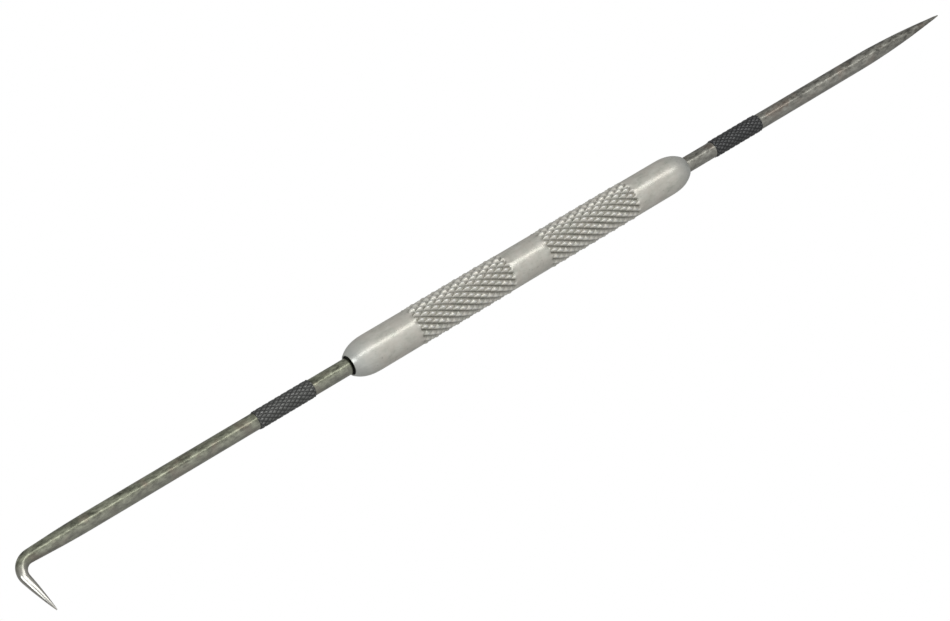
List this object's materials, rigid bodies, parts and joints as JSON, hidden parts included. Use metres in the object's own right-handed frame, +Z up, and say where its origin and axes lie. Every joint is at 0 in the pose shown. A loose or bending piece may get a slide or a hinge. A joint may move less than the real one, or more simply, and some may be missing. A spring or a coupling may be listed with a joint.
{
  "type": "double-ended scriber",
  "caption": "Double-ended engineer's scriber: knurled round handle with a straight steel point at one end and a right-angled hooked point at the other, both screwed in.",
  "frame": {"origin": "bottom centre of the bounding box, on the surface that the tool lies on", "axes": "+X along the tool towards the straight tip, +Z up, the hooked tip rests on the surface on the -Y side"},
  "size_m": [0.2464, 0.015, 0.0083],
  "materials": {
    "handle_aluminium": "satin",
    "ground_steel": "ground, slightly mottled",
    "blackened_steel": "blackened, fine diamond knurl"
  },
  "bodies": {
    "handle_body": {"handle": "handle_aluminium"},
    "straight_grip_body": {"straight_grip": "blackened_steel"},
    "straight_point_body": {"straight_point": "ground_steel"},
    "bent_grip_body": {"bent_grip": "blackened_steel"},
    "bent_point_body": {"bent_point": "ground_steel"}
  },
  "joints": [
    {"name": "straight_travel", "type": "slide", "parent": "handle_body", "child": "straight_grip_body", "axis": [1, 0, 0], "range_m": [0, 0.01]},
    {"name": "straight_turn", "type": "hinge", "parent": "straight_grip_body", "child": "straight_point_body", "pos_m": [0, 0.00333, 0.00414], "axis": [1, 0, 0], "range_deg": [0, 7200]},
    {"name": "bent_travel", "type": "slide", "parent": "handle_body", "child": "bent_grip_body", "axis": [-1, 0, 0], "range_m": [0, 0.01]},
    {"name": "bent_turn", "type": "hinge", "parent": "bent_grip_body", "child": "bent_point_body", "pos_m": [0, 0.00333, 0.00414], "axis": [-1, 0, 0], "range_deg": [0, 7200]}
  ],
  "couplings": [
    {"joint": "straight_turn", "follows": "straight_travel", "rad_per_m": 12566},
    {"joint": "bent_turn", "follows": "bent_travel", "rad_per_m": 12566}
  ]
}
